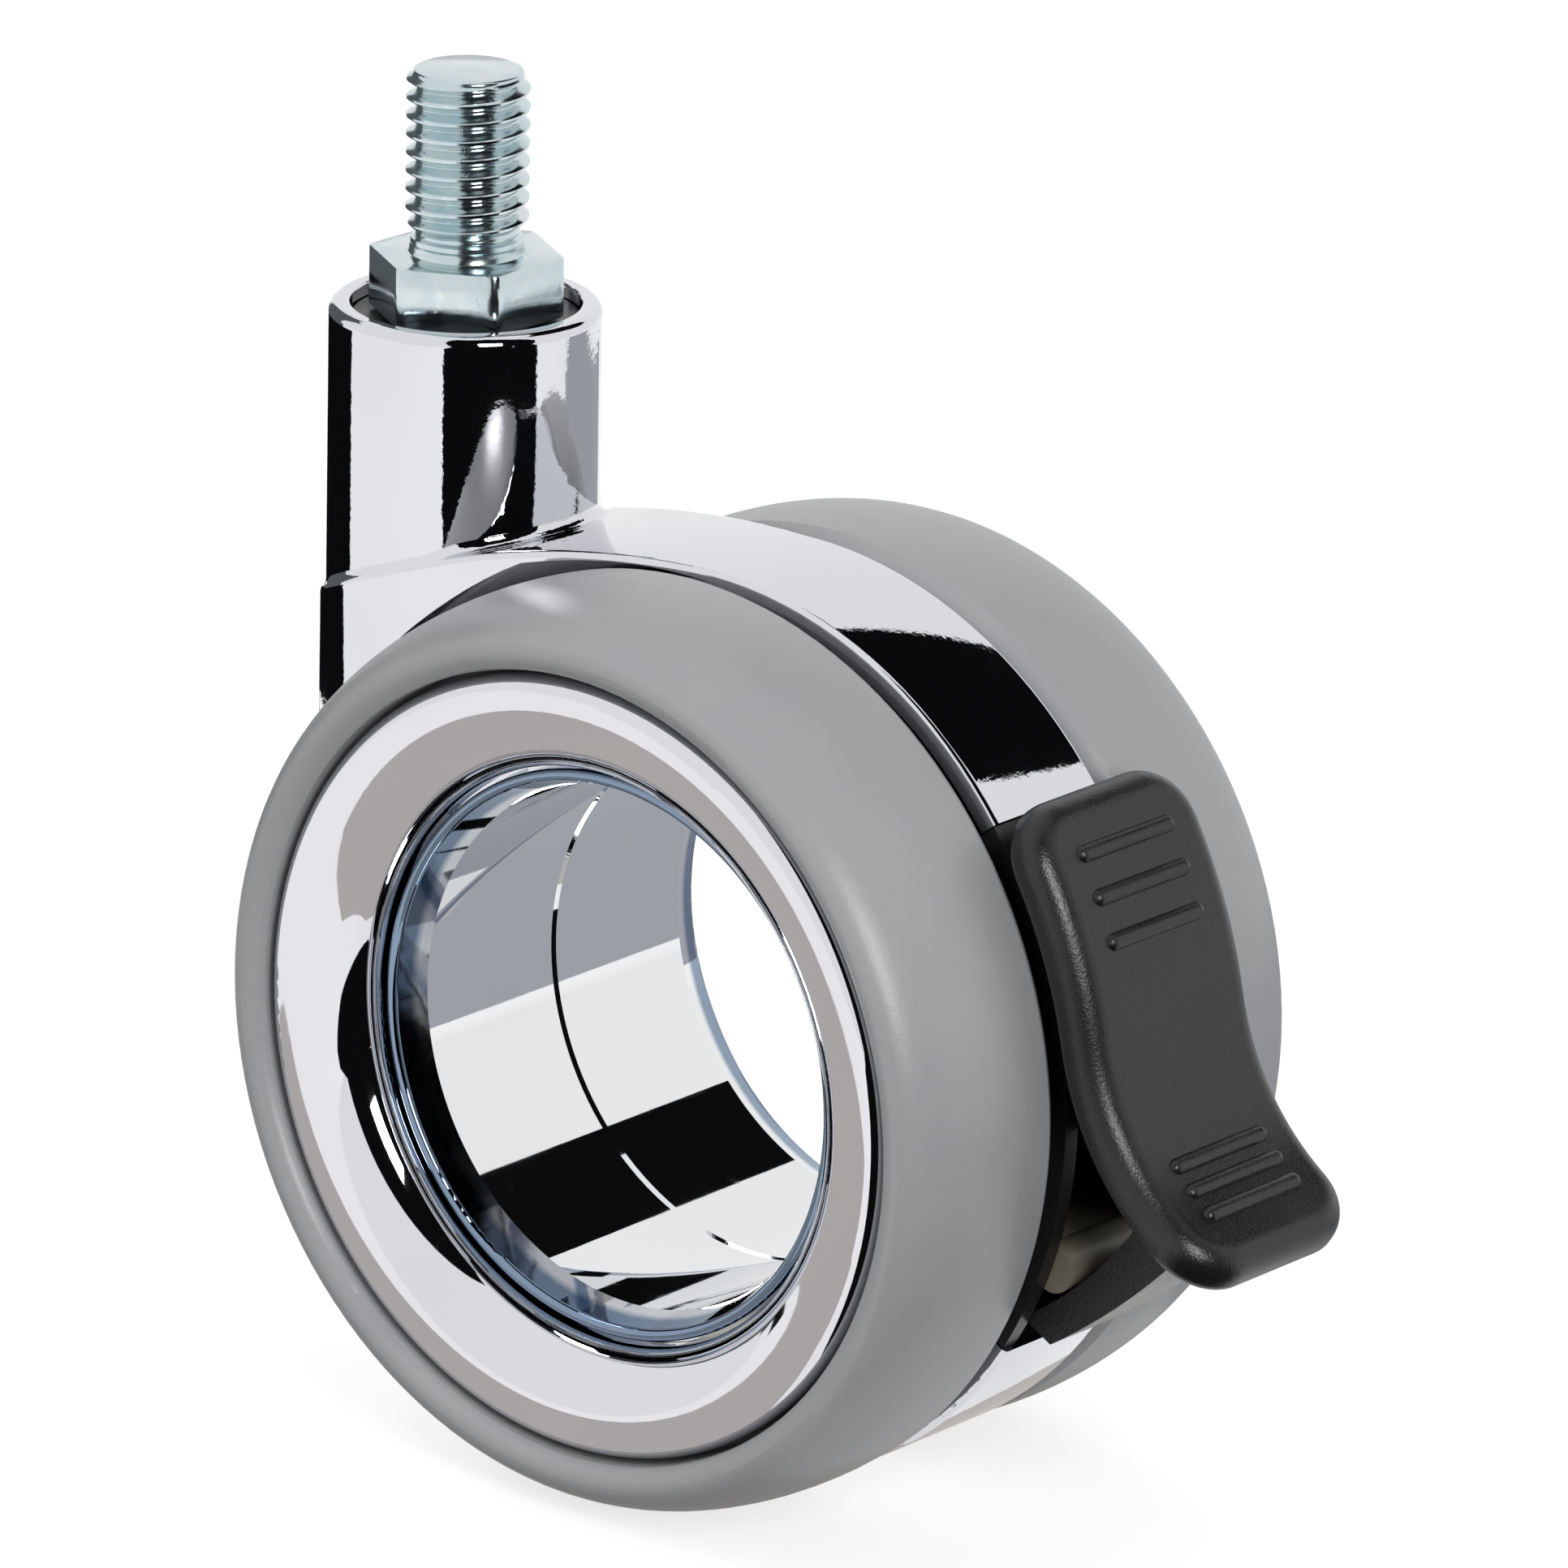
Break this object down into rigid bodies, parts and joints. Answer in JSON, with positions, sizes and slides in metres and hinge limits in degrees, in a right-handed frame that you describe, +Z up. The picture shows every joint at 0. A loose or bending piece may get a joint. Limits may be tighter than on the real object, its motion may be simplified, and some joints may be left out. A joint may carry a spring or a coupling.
{
  "type": "twin wheel castor",
  "caption": "Twin wheel furniture castor with a threaded stud stem, chromed open-centre housing, grey tyres and a black rocker brake pedal.",
  "frame": {"origin": "middle of the hexagon's top face, on the swivel axis, where the stud starts", "axes": "+Z up the threaded stud; +X horizontally towards the brake pedal; the wheels turn about a line along Y, front wheel on the -Y side"},
  "size_m": [0.0971, 0.0476, 0.1083],
  "materials": {
    "chrome": "polished plating",
    "zinc_steel": "bright zinc plating, lightly scratched",
    "spring_steel": "plain",
    "grey_tread": "satin, fine grain",
    "black_plastic": "fine grain",
    "white_plastic": "natural, slightly waxy"
  },
  "bodies": {
    "stem": {"threaded_stem": "zinc_steel", "stem_snap_ring": "spring_steel"},
    "housing": {"housing": "chrome", "upper_swivel_bush": "white_plastic", "lower_swivel_bush": "white_plastic", "front_bore_sleeve": "chrome", "rear_bore_sleeve": "chrome", "front_bearing_ring": "white_plastic", "rear_bearing_ring": "white_plastic", "front_retaining_ring": "spring_steel", "rear_retaining_ring": "spring_steel", "brake_carrier": "black_plastic", "brake_pivot_pin": "spring_steel", "detent_spring": "spring_steel"},
    "front_wheel": {"front_wheel_core": "black_plastic", "front_tyre": "grey_tread", "front_face_ring": "chrome"},
    "rear_wheel": {"rear_wheel_core": "black_plastic", "rear_tyre": "grey_tread", "rear_face_ring": "chrome"},
    "brake_lever": {"brake_pedal": "black_plastic"},
    "brake_bolt": {"brake_bolt": "white_plastic"}
  },
  "joints": [
    {"name": "swivel", "type": "hinge", "parent": "stem", "child": "housing", "pos_m": [0, 0, 0], "axis": [0, 0, 1], "continuous": true},
    {"name": "front_wheel_spin", "type": "hinge", "parent": "housing", "child": "front_wheel", "pos_m": [0.0317, 0, -0.0558], "axis": [0, 1, 0], "continuous": true},
    {"name": "rear_wheel_spin", "type": "hinge", "parent": "housing", "child": "rear_wheel", "pos_m": [0.0317, 0, -0.0558], "axis": [0, 1, 0], "continuous": true},
    {"name": "brake_pedal_rock", "type": "hinge", "parent": "housing", "child": "brake_lever", "pos_m": [0.06582, 0, -0.05341], "axis": [0, 1, 0], "range_deg": [0, 10]},
    {"name": "brake_bolt_slide", "type": "slide", "parent": "housing", "child": "brake_bolt", "axis": [-0.9397, 0, 0.342], "range_m": [0, 0.002]}
  ],
  "couplings": [
    {"joint": "brake_bolt_slide", "follows": "brake_pedal_rock", "m_per_rad": 0.01145}
  ]
}
